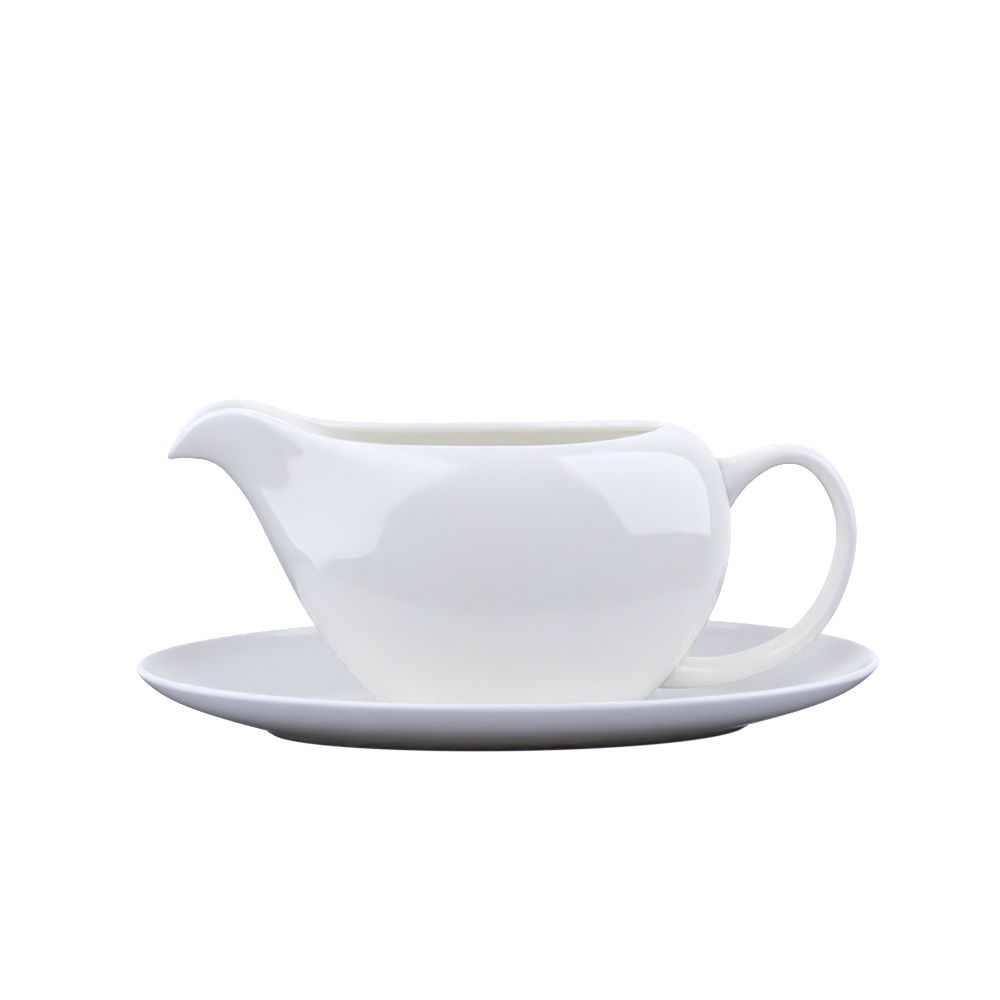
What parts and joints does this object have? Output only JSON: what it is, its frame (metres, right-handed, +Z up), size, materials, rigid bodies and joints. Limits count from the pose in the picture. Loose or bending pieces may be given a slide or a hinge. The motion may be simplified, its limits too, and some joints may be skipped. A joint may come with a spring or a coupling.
{
  "type": "gravy boat on stand",
  "caption": "Glazed china gravy boat with a beaked pouring spout and a looped ear handle, standing on its own separate oval dish that catches drips.",
  "frame": {"origin": "centre of the stand's outline, on the plane its foot rests on", "axes": "+X from the spout towards the handle along the length, +Y to the left seen from the spout, +Z up"},
  "size_m": [0.2218, 0.147, 0.0982],
  "materials": {
    "stand_china": "glossy clear glaze over white bone china, matt on the foot band",
    "boat_china": "glossy clear glaze over white bone china, matt on the foot band",
    "handle_china": "glossy clear glaze over white bone china"
  },
  "bodies": {
    "stand": {"stand": "stand_china"},
    "boat": {"boat_body": "boat_china", "boat_handle": "handle_china"}
  },
  "joints": [
    {"name": "boat_lift", "type": "slide", "parent": "stand", "child": "boat", "axis": [0, 0, 1], "range_m": [0, 0.12]}
  ]
}
